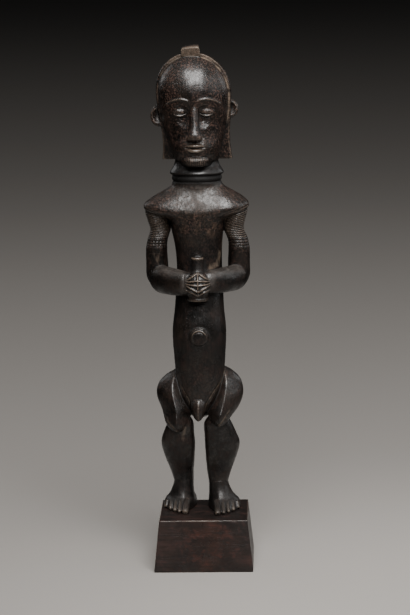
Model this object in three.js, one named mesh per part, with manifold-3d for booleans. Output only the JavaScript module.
// A standing hardwood guardian figure, hands joined round a small vessel, on a low tapered plinth.
// Millimetres, +Z up. The figure faces -Y. The origin is the middle of the plinth's underside.
import * as THREE from 'three';
import { mergeVertices } from 'three/addons/utils/BufferGeometryUtils.js';
import Module from 'manifold-3d';

const wasm = await Module();
wasm.setup();

// Driving dimensions
const PLINTH = { topWidth: 98, topDepth: 98, baseWidth: 110, baseDepth: 109, height: 57.5 };
const AXIS = { x: -2.7, y: 3 }; // the figure stands a little left of the plinth's middle and behind it

// Heights above the soles
const LEVEL = {
  ankle: 31, calf: 75, knee: 99, crotch: 108, hip: 137, waist: 264, navel: 199, hands: 261, elbow: 263,
  pinch: 318, shoulder: 347, neckBase: 372, ring: 381, chin: 390, lappet: 395, crown: 510,
};

// Half sizes across the body
const HALF = {
  hips: 48.4, belly: 29.7, waist: 25.2, chest: 28.6, shoulders: 57.7,
  neck: 23.7, ring: 29.8, skull: 38.4, hair: 41.3, lappet: 38.8, crest: 10.2, hand: 15.3,
};

// Depths along Y of the main masses, front negative
const DEPTH = { handCentre: -31, stem: -29, bellyFront: -26, headCentre: -4, hairBack: 43, ankle: 10 };

const LEG_SHIFT = -0.9; // the legs' middle line beside the body's
const FOOT_X = 19.8; // ankle to the line between the legs
const FOOT_OUT = { left: 0, right: 1.7 }; // how far each foot, by the viewer's side, turns out below it
const FOOT_BACK = { left: 7.5, right: 0 }; // and how far behind the other it is set down
const ARM_X = 45; // elbow to the body's middle line
const ARM_LEAN = { low: 0.4, high: 1.4 }; // both arms lie a little to the left, more at the shoulder
const KNEE = { x: 23.6, splay: 2, rise: 3 }; // the viewer's left knee is further out and lower
const HIP_DROP = 3; // and the left thigh ends lower at the hip
const CREST_TILT = 0.12; // the crest's top rises to the viewer's right by this much of its width
const HEAD_LEAN = -0.04; // the head leans to the viewer's left, per millimetre of height

const WOOD = { color: 0x1d1614, roughness: 0.42, metalness: 0 };
const PLINTH_WOOD = { color: 0x2b1610, roughness: 0.35, metalness: 0 };

// Catmull-Rom through rows of numbers: `steps` rows for each span, ends included.
function smoothRows(rows, steps) {
  const made = [];
  const at = (i) => rows[Math.min(Math.max(i, 0), rows.length - 1)];
  for (let i = 0; i < rows.length - 1; i++) {
    for (let k = 0; k < steps; k++) {
      const t = k / steps;
      made.push(at(i).map((_, c) => {
        const [p0, p1, p2, p3] = [at(i - 1)[c], at(i)[c], at(i + 1)[c], at(i + 2)[c]];
        const bend = (2 * p0 - 5 * p1 + 4 * p2 - p3) * t * t + (3 * p1 - p0 - 3 * p2 + p3) * t * t * t;
        return 0.5 * (2 * p1 + (p2 - p0) * t + bend);
      }));
    }
  }
  made.push(at(rows.length - 1));
  return made;
}

// One superellipse ring. A row is [x, y, z, side, front, back, squareness]; V is the way to the back.
// With a keel of 1 the front is two nearly flat faces that meet at a ridge, and with 0 it is round.
function ring(row, U, V, sides, keel) {
  const [x, y, z, side, front, back, square] = row;
  const points = [];
  for (let k = 0; k < sides; k++) {
    const angle = (2 * Math.PI * k) / sides;
    const [c, s] = [Math.cos(angle), Math.sin(angle)];
    const u = Math.sign(c) * Math.abs(c) ** (2 / square) * side;
    const round = Math.abs(s) ** (2 / square);
    const roof = 1 - Math.abs(u / side) ** 1.2;
    const v = s > 0 ? back * round : -front * (round + keel * (roof - round));
    points.push(new THREE.Vector3(x, y, z).addScaledVector(U, u).addScaledVector(V, v));
  }
  return points;
}

// A closed skin over rings of as many points each, with a pole at the middle of either end ring.
function skin(rings) {
  const sides = rings[0].length;
  const last = rings.length - 1;
  const poles = [rings[0], rings[last]].map((points) => {
    const sum = points.reduce((total, p) => total.add(p), new THREE.Vector3());
    return sum.divideScalar(sides);
  });
  const positions = [...rings.flat(), ...poles].flatMap((p) => [p.x, p.y, p.z]);
  const [startPole, endPole] = [rings.length * sides, rings.length * sides + 1];
  const index = [];
  for (let k = 0; k < sides; k++) {
    const next = (k + 1) % sides;
    index.push(startPole, next, k);
    index.push(endPole, last * sides + k, last * sides + next);
    for (let i = 0; i < last; i++) {
      const [a, b] = [i * sides + k, i * sides + next];
      index.push(a, b, b + sides, a, b + sides, a + sides);
    }
  }
  const geometry = new THREE.BufferGeometry();
  geometry.setAttribute('position', new THREE.Float32BufferAttribute(positions, 3));
  return geometry.setIndex(index);
}

// Level sections lie flat; path sections stand across the way from row to row, with U as near to
// `side` as that allows.
function loft(rows, { sides = 14, steps = 1, path = false, side = [1, 0, 0], keel = 0 } = {}) {
  const sections = smoothRows(rows, steps);
  const centre = sections.map(([x, y, z]) => new THREE.Vector3(x, y, z));
  const last = sections.length - 1;
  return skin(sections.map((row, i) => {
    const U = new THREE.Vector3(1, 0, 0);
    const V = new THREE.Vector3(0, 1, 0);
    if (path) {
      const T = centre[Math.min(i + 1, last)].clone().sub(centre[Math.max(i - 1, 0)]).normalize();
      U.set(...side).addScaledVector(T, -T.dot(U.set(...side))).normalize();
      V.crossVectors(T, U);
    }
    return ring(row, U, V, sides, keel);
  }));
}

// A ball scaled to half sizes and put in its place.
function ball(half, at, detail = 12) {
  return new THREE.SphereGeometry(1, detail, Math.round(detail * 0.7)).scale(...half).translate(...at);
}

// A turned form: [radius, z] points from the bottom pole to the top pole, about a vertical axis.
function turned(profile, at, sides = 16) {
  const points = profile.map(([r, z]) => new THREE.Vector2(r, z));
  return new THREE.LatheGeometry(points, sides).rotateX(Math.PI / 2).translate(...at);
}

function solid(geometry) {
  const bare = geometry.clone();
  bare.deleteAttribute('normal');
  bare.deleteAttribute('uv');
  const merged = mergeVertices(bare, 1e-4);
  const vertProperties = merged.attributes.position.array;
  const triVerts = new Uint32Array(merged.index.array);
  const made = new wasm.Manifold(new wasm.Mesh({ numProp: 3, vertProperties, triVerts }));
  if (made.volume() > 0) return made;
  for (let i = 0; i < triVerts.length; i += 3) {
    [triVerts[i + 1], triVerts[i + 2]] = [triVerts[i + 2], triVerts[i + 1]];
  }
  return new wasm.Manifold(new wasm.Mesh({ numProp: 3, vertProperties, triVerts }));
}

const sideOf = (sign) => (sign < 0 ? 'left' : 'right');
const share = (value, low, high) => Math.min(Math.max((value - low) / (high - low), 0), 1);
const join = (geometries) => geometries.map(solid).reduce((sum, s) => sum.add(s));

// Long column of a body, from the crotch to the neck, with the shoulders spread out of it.
function torso() {
  return loft([
    [-0.9, 8, LEVEL.crotch - 2, 8, 9, 6, 2.2],
    [-0.9, 6, LEVEL.crotch + 4, 14, 15, 15, 2.2],
    [-0.5, 4, 127, 22, 23, 24, 2.2],
    [0, 3, 150, 26.5, 25, 27, 2.3],
    [0, 2, 176, 28.5, 26, 24, 2.3],
    [0, 1, 204, HALF.belly, 1 - DEPTH.bellyFront, 23, 2.3],
    [0.6, 1, 232, 27.3, 24.4, 21.8, 2.3],
    [1.2, 1, LEVEL.waist, HALF.waist, 22, 21.5, 2.3],
    [0.8, 1, 294, HALF.waist + 0.3, 24, 22, 2.3],
    [-0.1, 1, 317, HALF.chest, 28, 23.5, 2.3],
    [0, 1, 330, 33, 31, 25, 2.3],
    [-1.3, 1, 339, 54, 32.5, 25.5, 2.9],
    [-1, 1, LEVEL.shoulder - 0.5, HALF.shoulders, 31, 25, 3],
    [0.4, 1, 354.5, 49, 27.6, 24.5, 2.5],
    [0.6, 1, 360, 39.5, 24.8, 24.5, 2.2],
    [0.3, 1, 366, 29.5, 24, 25.5, 2.1],
    [0, 1, LEVEL.neckBase - 1, 26.8, 26, 26.2, 2],
    [0, 1, LEVEL.neckBase + 1, 22, 22, 22, 2],
  ], { sides: 20 });
}

// Thick round neck with a carved collar that flares to a sharp rim over a rolled cord.
function neck() {
  const top = LEVEL.chin + 20;
  return turned([
    [0, LEVEL.neckBase - 8], [24.6, LEVEL.neckBase - 8], [25.2, LEVEL.neckBase - 1],
    [27.3, LEVEL.neckBase + 1.4], [27.3, LEVEL.neckBase + 4.2], [26, LEVEL.neckBase + 5.8],
    [HALF.ring - 0.7, LEVEL.ring - 1.8], [HALF.ring, LEVEL.ring], [HALF.ring - 1.2, LEVEL.ring + 2.6],
    [25.6, LEVEL.ring + 7.2], [HALF.neck, LEVEL.ring + 12], [HALF.neck, top], [0, top],
  ], [0, 1, 0]);
}

const headX = (z) => 0.5 + (z - LEVEL.chin) * HEAD_LEAN;

// Egg of the head: `up` runs from 0 at the chin to 1 at the crown, widest at two thirds.
const EGG = { widest: 0.65, jaw: 0.55, chinRound: 0.07 };
function eggWidth(up) {
  const { widest, jaw, chinRound } = EGG;
  if (up >= widest) return HALF.skull * Math.sqrt(Math.max(0, 1 - ((up - widest) / (1 - widest)) ** 2));
  const cheek = HALF.skull * (1 - (1 - jaw) * ((widest - up) / widest) ** 1.7);
  return up < chinRound ? cheek * Math.sqrt(1 - (1 - up / chinRound) ** 2 * 0.75) : cheek;
}

// How far the face stands forward of the head's middle, for the same `up`: chin, mouth, cheek, brow,
// the bulging forehead, and the crown.
function skull() {
  const front = [[0, 17], [0.04, 28], [0.1, 33.5], [0.17, 35], [0.28, 33], [0.42, 34.5], [0.55, 38.5],
    [0.68, 40.5], [0.8, 37.5], [0.9, 29], [0.96, 19.5], [0.99, 10], [1, 4]];
  return loft(front.map(([up, forward]) => {
    const z = LEVEL.chin + up * (LEVEL.crown - LEVEL.chin);
    const width = Math.max(eggWidth(up), 4);
    return [headX(z), DEPTH.headCentre, z, width, forward, Math.min(34, width), 2.15];
  }), { sides: 20 });
}

// The features are set out by rule: eyes half way up the head, the nose half way from them to the
// chin, the mouth a third of the way from the nose to the chin.
const FACE = { front: DEPTH.headCentre - 36 };
FACE.eye = (LEVEL.chin + LEVEL.crown) / 2;
FACE.nose = (FACE.eye + LEVEL.chin) / 2;
FACE.mouth = FACE.nose - (FACE.nose - LEVEL.chin) / 3;
FACE.brow = FACE.eye + 9;

// A hollow on each side of the nose gives the face its heart shape.
function faceHollow(sign) {
  return ball([15.5, 12, 20], [headX(FACE.eye) + sign * 15.5, FACE.front - 2.5, FACE.eye - 10.5], 14);
}

// One lip: a soft ridge from corner to corner of the mouth, fullest in the middle.
function lip(z, thick, wide) {
  return loft([-1, -0.6, 0, 0.6, 1].map((t) => {
    const round = 1 - t * t;
    const y = FACE.front + 0.5 + 9 * t * t;
    return [headX(z) + t * wide, y, z, thick * (0.4 + 0.6 * round), 4, 4, 2];
  }), { sides: 8, path: true, side: [0, 0, 1] });
}

function nose() {
  const x = headX(FACE.nose);
  return loft([
    [x, FACE.front + 2, FACE.nose - 2.5, 4, 3, 8, 2.2],
    [x, FACE.front - 2.5, FACE.nose + 0.5, 8.4, 5, 11, 2.2],
    [x, FACE.front - 2.5, FACE.nose + 4, 6.8, 6, 11, 2.2],
    [x, FACE.front - 0.5, FACE.nose + 15, 4, 4.5, 11, 2],
    [x, FACE.front + 1, FACE.brow - 6, 3.4, 3, 10, 2],
    [x, FACE.front + 3, FACE.brow + 4, 4, 2, 9, 2],
  ], { sides: 8 });
}

function faceFeatures() {
  const eye = (sign) => ball([6, 4.4, 3.4], [headX(FACE.eye) + sign * 14, FACE.front + 6.8, FACE.eye - 1], 8);
  return [nose(), lip(FACE.mouth + 2.2, 2.6, 13.5), lip(FACE.mouth - 2.6, 2.6, 12), eye(-1), eye(1)];
}

// Helmet of dressed hair: it stands off the forehead by a step and falls to a square-cut nape.
function hair() {
  const rows = [
    [LEVEL.lappet, HALF.lappet, 14, 24], [410, 37.3, 12, 27], [427, 37.6, 8, 32], [447, 40, 5, 36.5],
    [465, HALF.hair, 3, DEPTH.hairBack - 3], [481, 40, 1, 40], [494, 34.6, -1, 35], [503.5, 26, -1, 27],
    [509.5, 16, -1, 17], [512, 4, -1, 5],
  ];
  const mass = solid(loft(rows.map(([z, side, y, back]) => [headX(z) + 0.3, y, z, side, 40, back, 2.2]),
    { sides: 20 }));
  const rimTilt = 0.175; // the hairline leans forward towards the crown
  const opening = new THREE.BoxGeometry(140, 100, 220)
    .translate(0, -50, 0).rotateX(rimTilt).translate(0, -5, 450);
  return mass.subtract(solid(opening));
}

// Flat-topped crest from the hairline over the crown and down to the nape.
function crest() {
  const way = [[-18, 512], [-8, 514.2], [6, 513.8], [20, 507.5], [33, 494], [41, 472], [42.5, 448], [39.5, 420],
    [37, LEVEL.lappet + 3]];
  return loft(way.map(([y, z], i) => [
    headX(z), y, z, HALF.crest - 0.35 * i, 6 - 0.25 * i, 9.6 - 0.4 * i, 5,
  ]), { sides: 8, path: true, side: [1, 0, CREST_TILT] });
}

// Ears are C-shaped rims; the viewer's right one sits higher and is shorter.
const EARS = { left: { z: 443.5, half: 12.5 }, right: { z: 450.5, half: 11 } };
function ear(sign) {
  const { z, half } = EARS[sideOf(sign)];
  const x = headX(z) + sign * 38;
  const rim = solid(ball([10.5, 5, half], [x, 1, z], 12));
  return rim.subtract(solid(ball([7, 5, half - 4], [x + sign * 1.5, -4, z], 10)));
}

// Upper arm from the shoulder to the elbow: a full deltoid, a pinched middle and a swelling below.
function upperArm(sign) {
  return loft([
    [ARM_X - 2.5, 7, LEVEL.elbow - 12.5, 4, 5, 5, 2],
    [ARM_X - 1.8, 8, LEVEL.elbow - 8.5, 8.6, 10, 10, 2],
    [ARM_X, 8, LEVEL.elbow + 2, 12.2, 13, 12.5, 2.1],
    [ARM_X + 0.5, 7, 280, 12.2, 12.5, 12.5, 2.3],
    [ARM_X + 0.8, 6, 295, 11.8, 12.5, 13, 2.3],
    [ARM_X - 0.5, 5, 306, 11.2, 12.5, 13, 2.3],
    [ARM_X - 4.5, 4, LEVEL.pinch, 11.2, 13, 13, 2.3],
    [ARM_X - 3.4, 3, 329, 12.3, 17, 15, 2.3],
    [ARM_X - 2.4, 2, 340, 13.6, 20, 16.5, 2.3],
    [ARM_X - 5, 1, 350, 9, 16.5, 14, 2.2],
  ].map(([x, y, z, ...rest]) => {
    const lean = ARM_LEAN.low + (ARM_LEAN.high - ARM_LEAN.low) * share(z, LEVEL.pinch - 6, LEVEL.pinch + 8);
    return [sign * x - lean, y, z, ...rest];
  }), { sides: 12 });
}

// Forearm from the elbow forward and inward to the hand. The left one hangs a little fuller.
function forearm(sign) {
  const hang = sign < 0 ? 1.2 : 0;
  return loft([
    [ARM_X + 2, 13, LEVEL.elbow + 1, 6, 5, 5, 2],
    [ARM_X + 0.5, 8, LEVEL.elbow + 1 - hang, 11.5, 9.5, 9.5, 2],
    [ARM_X - 4, -3, LEVEL.elbow + 1 - hang, 14 + hang, 11.5, 11.5, 2.1],
    [ARM_X - 15, -17, LEVEL.elbow + 0.5 - hang, 13.8 + hang, 11, 11.5, 2.3],
    [ARM_X - 29, -27, LEVEL.hands + 1.5 - hang, 12.5 + hang, 9.5, 10.5, 2.5],
    [ARM_X - 39, -30, LEVEL.hands + 1.5, 12, 9, 10, 2.5],
  ].map(([x, ...rest]) => [sign * x, ...rest]), { sides: 12, path: true, side: [0, 0, 1], steps: 2 });
}

// Five digits a side stand as ridges on the ball of the two hands and meet tip to tip in front. Each
// is given by its height above the hands' middle, at the side and where it meets its fellow.
const DIGITS = [[7, 13], [3.8, 5.1], [0.5, -0.5], [-3, -8.6], [-8, -12]];
function digit(sign, [atSide, atMiddle]) {
  const spread = Math.PI * 0.42;
  const thick = 1.9;
  const rows = [1, 0.66, 0.33, 0.04].map((share) => {
    const height = atMiddle + (atSide - atMiddle) * share;
    const reach = Math.sqrt(1 - (height / (HALF.hand * 1.05)) ** 2);
    const angle = spread * share;
    const x = sign * HALF.hand * reach * Math.sin(angle);
    const y = DEPTH.handCentre - (HALF.hand - 1.5) * reach * Math.cos(angle);
    return [x, y + 1, LEVEL.hands + height, thick, thick, thick, 2];
  });
  return loft(rows, { sides: 6, path: true, side: [0, 0, 1] });
}

function vessel() {
  const base = LEVEL.hands - 19.5;
  return turned([
    [0, base], [10.4, base], [11.6, base + 2], [11, base + 4.5], [12, base + 10], [11.5, base + 22],
    [7, base + 32], [6.1, base + 36], [6.1, base + 45], [6.8, base + 48.5], [0, base + 48.5],
  ], [0, DEPTH.stem, 0], 12);
}

function hands() {
  const core = ball([HALF.hand - 1, 12.5, 13], [0, DEPTH.handCentre, LEVEL.hands], 14);
  return [core, ...[-1, 1].flatMap((sign) => DIGITS.map((d) => digit(sign, d)))];
}

// Proud navel: a round boss under a shallow hood. Both narrow towards the front.
function navel() {
  const [x, y, z] = [0.4, DEPTH.bellyFront + 2, LEVEL.navel];
  const boss = new THREE.CylinderGeometry(7.4, 5.8, 12, 14).translate(x, y, z);
  const hood = new THREE.CylinderGeometry(11, 9.2, 8, 14).translate(x, y, z + 2);
  return [boss, hood];
}

function sex() {
  return loft([
    [-1.9, -19, 105, 1.4, 2, 3, 2], [-1.9, -18.6, 109, 5, 5, 5, 2], [-1.9, -17.6, 116, 7.4, 8, 8, 2.2],
    [-1.7, -16.6, 124, 8.2, 8, 10, 2.6], [-1.6, -15.4, 129, 7.6, 6.4, 8, 2.6],
  ], { sides: 12, keel: 0.5 });
}

// Thigh: a leaf-shaped mass from the hip forward and down to the pointed knee, ridged down its front.
function thigh(sign) {
  const knee = LEVEL.knee + sign * KNEE.rise;
  const kneeX = KNEE.x - sign * KNEE.splay;
  const drop = sign < 0 ? HIP_DROP : 0;
  return loft([
    [kneeX, -15, knee - 3, 4.5, 5, 6, 2],
    [kneeX + 0.1, -12, knee + 1.5, 9.5, 10.5, 12, 2],
    [kneeX + 0.8 * (1 + sign) / 2, -8, knee + 8, 13.6, 15, 17, 2],
    [25.5 - 0.35 * sign, -3, 117, 17.1, 18.5, 21, 2],
    [28.6, 2, 128, 18.8, 20.5, 24, 2.1],
    [30.4, 5, LEVEL.hip, HALF.hips - 30.4, 20.5, 25, 2.1],
    [30, 7, 148 - 0.7 * drop, 15.2, 18, 23, 2.1],
    [28.4, 8, 156 - drop, 9.4, 13, 16, 2],
    [27, 9, 161 - 1.2 * drop, 3.5, 6, 8, 2],
  ].map(([x, ...rest]) => [LEG_SHIFT * 0.4 + sign * x, ...rest]), { sides: 14, steps: 2, keel: 0.6 });
}

function buttock(sign) {
  return ball([21, 20, 24], [sign * 17.5, 15, 138], 12);
}

// A leg is set further back towards the foot, where that foot is.
const legBack = (sign, z) => FOOT_BACK[sideOf(sign)] * (1 - share(z, 14, 76));

// Lower legs, with the calf swelling outward and back. A row is the middle's depth, the height, the
// inner and outer side of the left leg and of the right one, both from the line between the legs, then
// the depths to the front and to the back.
const SHANKS = [
  [10, 14, [9.8, 28.8], [9.8, 28.8], 9, 9],
  [10, LEVEL.ankle - 2, [8.4, 30.3], [8.9, 30.3], 10, 10],
  [9, 43, [8.1, 34.1], [6.9, 34.2], 11, 12.5],
  [7, 52, [7.1, 37.2], [6.3, 37.6], 12, 16],
  [5, 62, [6.6, 40.6], [5.7, 41], 13, 19],
  [3, LEVEL.calf + 1, [5.8, 43.7], [4.9, 44.2], 13.5, 22],
  [1, 87, [6.5, 41.6], [4.8, 40.9], 13.5, 18.5],
  [-2, 100, [7.1, 36], [4.8, 35.6], 13, 14],
  [-3, 109, [11, 31], [10.5, 31], 9, 9],
];
function shank(sign) {
  return loft(SHANKS.map(([y, z, left, right, front, back]) => {
    const [inner, outer] = sign < 0 ? left : right;
    const x = LEG_SHIFT + sign * (inner + outer) / 2;
    return [x, y + legBack(sign, z), z, (outer - inner) / 2, front, back, 2.1];
  }), { sides: 14 });
}

// Plan of the foot at the roots of the toes, about a middle point: each side is the way it faces, in
// degrees, and how far out it lies. The sides are blended into one rounded outline. The inner side and
// the front are cut back slantwise, so the inner toes reach furthest.
const FOOT_SIDES = [[180, 14.6], [200, 14], [-90, 34], [-38, 23.5], [0, 22.5], [53, 24], [90, 25]];
const footReach = (angle) => FOOT_SIDES.reduce((sum, [facing, out]) => {
  const near = Math.cos(angle - THREE.MathUtils.degToRad(facing)) / out;
  return sum + Math.max(0, near) ** 8;
}, 0) ** (-1 / 8);

// Foot: the round ankle spreads downward into that plan. A row is a height and how far the skin has
// spread there, first to the front, where it is one long slope, and then to the sides and the back.
const SPREADING = [[-3, 1, 1], [1.5, 0.96, 1], [4, 0.88, 0.98], [7.5, 0.68, 0.92], [10, 0.49, 0.82],
  [13, 0.27, 0.6], [17.5, 0.14, 0.37], [22, 0.06, 0.22], [27, 0.02, 0.07], [32, 0, 0]];
const ANKLE = 10.7;
function foot(sign) {
  const sides = 16;
  return skin(SPREADING.map(([z, ahead, aside]) => Array.from({ length: sides }, (_, k) => {
    const angle = (2 * Math.PI * k) / sides;
    const spread = aside + (ahead - aside) * Math.max(0, -Math.sin(angle)) ** 1.5;
    const reach = ANKLE + spread * (footReach(angle) - ANKLE);
    const x = FOOT_X + (0.6 + FOOT_OUT[sideOf(sign)]) * aside + reach * Math.cos(angle);
    return new THREE.Vector3(LEG_SHIFT + sign * x, DEPTH.ankle + legBack(sign, z) + reach * Math.sin(angle), z);
  })));
}

// A toe runs as a ridge from its root on the instep down the slope to the plinth. `way` is 0 for the
// big toe, on the inside, and 1 for the little one. A row is the share of the way, size and height.
const TOES = [0, 0.29, 0.52, 0.76, 1];
const TOE_ROWS = [[0, 0.85, 1], [0.5, 1, 0.57], [0.85, 1, 0.24], [1, 0.65, 0.13]];
function toe(sign, way) {
  const middle = [FOOT_X + FOOT_OUT[sideOf(sign)], DEPTH.ankle + FOOT_BACK[sideOf(sign)]];
  const tip = [-2.2 + 22.5 * way, -40 + 7.5 * way + 20 * way * way];
  const root = [-4 + 22.5 * way, -15.5 + 7 * way];
  const [thick, rootHeight] = way === 0 ? [3.9, 10.2] : [2.4, 11.7 - 3 * way * way];
  return loft(TOE_ROWS.map(([t, size, high]) => {
    const [x, y] = [0, 1].map((k) => middle[k] + root[k] + (tip[k] - root[k]) * t);
    const half = thick * size;
    return [LEG_SHIFT + sign * x, y, rootHeight * high, half, half, half, 2.2];
  }), { sides: 6, path: true });
}

function figureGeometry() {
  const both = (make) => [-1, 1].map(make);
  const head = solid(skull()).subtract(solid(faceHollow(-1))).subtract(solid(faceHollow(1)));
  const body = join([
    torso(), neck(), ...faceFeatures(), crest(), ...both(upperArm), ...both(forearm), ...hands(), vessel(),
    ...navel(), sex(), ...both(thigh), ...both(buttock), ...both(shank), ...both(foot),
    ...both((sign) => TOES.map((way) => toe(sign, way))).flat(),
  ]);
  const below = new THREE.BoxGeometry(200, 200, 40).translate(0, 0, -20);
  const whole = body.add(head).add(hair()).add(ear(-1)).add(ear(1)).subtract(solid(below));
  const mesh = whole.getMesh();
  const geometry = new THREE.BufferGeometry();
  geometry.setAttribute('position', new THREE.BufferAttribute(mesh.vertProperties, 3));
  return geometry.setIndex(new THREE.BufferAttribute(mesh.triVerts, 1));
}

// Plinth: a square-edged tapered block.
function plinthGeometry() {
  const { topWidth, topDepth, baseWidth, baseDepth, height } = PLINTH;
  const geometry = new THREE.BoxGeometry(1, 1, height).translate(0, 0, height / 2);
  const position = geometry.attributes.position;
  for (let i = 0; i < position.count; i++) {
    const top = position.getZ(i) > height / 2;
    position.setX(i, position.getX(i) * (top ? topWidth : baseWidth));
    position.setY(i, position.getY(i) * (top ? topDepth : baseDepth));
  }
  return geometry;
}

const part = new THREE.Group();

const plinth = new THREE.Mesh(plinthGeometry(), new THREE.MeshStandardMaterial(PLINTH_WOOD));
plinth.name = 'plinth';

const figure = new THREE.Mesh(figureGeometry(), new THREE.MeshStandardMaterial(WOOD));
figure.name = 'figure';
figure.position.set(AXIS.x, AXIS.y, PLINTH.height);

part.add(plinth, figure);

export default part;
